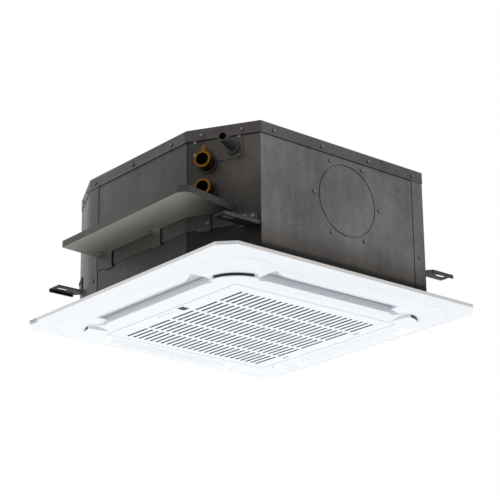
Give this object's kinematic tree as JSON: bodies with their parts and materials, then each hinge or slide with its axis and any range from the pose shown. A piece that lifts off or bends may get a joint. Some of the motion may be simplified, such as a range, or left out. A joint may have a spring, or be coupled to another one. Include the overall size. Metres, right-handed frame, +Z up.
{
  "type": "ceiling cassette fan coil unit",
  "caption": "Square ceiling cassette fan coil unit with a sheet steel casing, slotted hanger brackets, pipe corner, drain tray and a white four-way panel with flaps and a hinged grille.",
  "frame": {"origin": "centre of the four rod slots, halfway through the bracket plates", "axes": "+Z up as the unit hangs, +X towards the side opposite the drain tray, -Y towards the wall with the knock-out; the water pipes leave by the -X -Y corner"},
  "size_m": [0.7205, 0.68, 0.323],
  "materials": {
    "casing_sheet": "dark galvanised sheet steel, satin",
    "corner_sheet": "galvanised sheet steel, satin",
    "bracket_steel": "black painted pressed steel",
    "zinc_screws": "zinc plated steel",
    "foam": "moulded foam with a skin",
    "fin_aluminium": "plain aluminium fins",
    "zinc_sheet": "galvanised sheet steel",
    "copper": "bare copper tube",
    "brass": "machined brass",
    "grommet_rubber": "black rubber",
    "spigot_plastic": "grey moulded plastic",
    "tray_plastic": "grey moulded plastic with a fine grain",
    "black_plastic": "black moulded plastic",
    "hose_rubber": "grey rubber hose",
    "float_plastic": "white foam plastic",
    "fan_plastic": "white moulded plastic",
    "polished_steel": "ground steel",
    "motor_paint": "black painted steel",
    "circuit_green": "green circuit board",
    "terminal_plastic": "cream moulded plastic",
    "panel_plastic": "white moulded plastic, satin",
    "flap_plastic": "pale grey moulded plastic, satin",
    "grey_plastic": "pale grey moulded plastic",
    "receiver_plastic": "dark gloss window",
    "light_plastic": "translucent lens"
  },
  "bodies": {
    "casing": {"top_cover": "casing_sheet", "left_side_wall": "casing_sheet", "front_side_wall": "casing_sheet", "right_side_wall": "casing_sheet", "rear_side_wall": "casing_sheet", "pipe_corner_panel": "casing_sheet", "front_right_corner_panel": "corner_sheet", "rear_right_corner_panel": "corner_sheet", "rear_left_corner_panel": "corner_sheet", "casing_screws": "zinc_screws", "hanger_front_left": "bracket_steel", "hanger_front_right": "bracket_steel", "hanger_rear_right": "bracket_steel", "hanger_rear_left": "bracket_steel", "pipe_cover_plate": "casing_sheet", "insulation_liner": "foam", "coil_fin_pack": "fin_aluminium", "coil_end_plates": "zinc_sheet", "coil_return_bends": "copper", "coil_headers": "copper", "water_inlet_fitting": "brass", "water_outlet_fitting": "brass", "pipe_grommets": "grommet_rubber", "drain_spigot": "spigot_plastic", "condensate_pump": "black_plastic", "pump_hose": "hose_rubber", "float_switch_stem": "black_plastic", "drain_pan": "foam", "bell_mouth": "zinc_sheet", "fan_motor": "motor_paint", "motor_bearings": "polished_steel", "motor_mounts": "grommet_rubber", "control_box": "zinc_sheet", "control_box_lid": "zinc_sheet", "circuit_board": "circuit_green", "terminal_block": "terminal_plastic", "panel_frame": "panel_plastic", "panel_gaskets": "grommet_rubber", "panel_screws": "zinc_screws", "corner_slot_inserts": "black_plastic", "flap_motors": "grey_plastic", "flap_bushes": "grey_plastic", "outer_drain_tray": "tray_plastic"},
    "fan": {"fan_wheel": "fan_plastic", "fan_shroud": "fan_plastic", "fan_nut": "zinc_screws", "motor_shaft": "polished_steel"},
    "left_flap": {"flap_left": "flap_plastic"},
    "front_flap": {"flap_front": "flap_plastic"},
    "right_flap": {"flap_right": "flap_plastic"},
    "rear_flap": {"flap_rear": "flap_plastic"},
    "grille": {"intake_grille": "panel_plastic", "filter_frame": "grey_plastic", "filter_mesh": "black_plastic", "receiver_window": "receiver_plastic", "status_lights": "light_plastic"},
    "front_latch": {"grille_latch_front": "grey_plastic"},
    "rear_latch": {"grille_latch_rear": "grey_plastic"},
    "vent_screw": {"air_vent_screw": "brass"},
    "float": {"float_ring": "float_plastic"}
  },
  "joints": [
    {"name": "fan_spin", "type": "hinge", "parent": "casing", "child": "fan", "pos_m": [0, 0, 0.11], "axis": [0, 0, 1], "continuous": true},
    {"name": "left_flap_swing", "type": "hinge", "parent": "casing", "child": "left_flap", "pos_m": [-0.258, 0, -0.075], "axis": [0, -1, 0], "range_deg": [0, 60]},
    {"name": "front_flap_swing", "type": "hinge", "parent": "casing", "child": "front_flap", "pos_m": [0, -0.258, -0.075], "axis": [1, 0, 0], "range_deg": [0, 60]},
    {"name": "right_flap_swing", "type": "hinge", "parent": "casing", "child": "right_flap", "pos_m": [0.258, 0, -0.075], "axis": [0, 1, 0], "range_deg": [0, 60]},
    {"name": "rear_flap_swing", "type": "hinge", "parent": "casing", "child": "rear_flap", "pos_m": [0, 0.258, -0.075], "axis": [-1, 0, 0], "range_deg": [0, 60]},
    {"name": "grille_swing", "type": "hinge", "parent": "casing", "child": "grille", "pos_m": [-0.2085, 0, -0.099], "axis": [0, 1, 0], "range_deg": [0, 90]},
    {"name": "front_latch_slide", "type": "slide", "parent": "grille", "child": "front_latch", "axis": [-1, 0, 0], "range_m": [0, 0.005], "stiffness_N_per_m": 60},
    {"name": "rear_latch_slide", "type": "slide", "parent": "grille", "child": "rear_latch", "axis": [-1, 0, 0], "range_m": [0, 0.005], "stiffness_N_per_m": 60},
    {"name": "air_vent_turn", "type": "hinge", "parent": "casing", "child": "vent_screw", "pos_m": [-0.27619, -0.19704, 0.162], "axis": [0, 0, 1], "range_deg": [0, 180]},
    {"name": "float_rise", "type": "slide", "parent": "casing", "child": "float", "axis": [0, 0, 1], "range_m": [0, 0.012]}
  ]
}
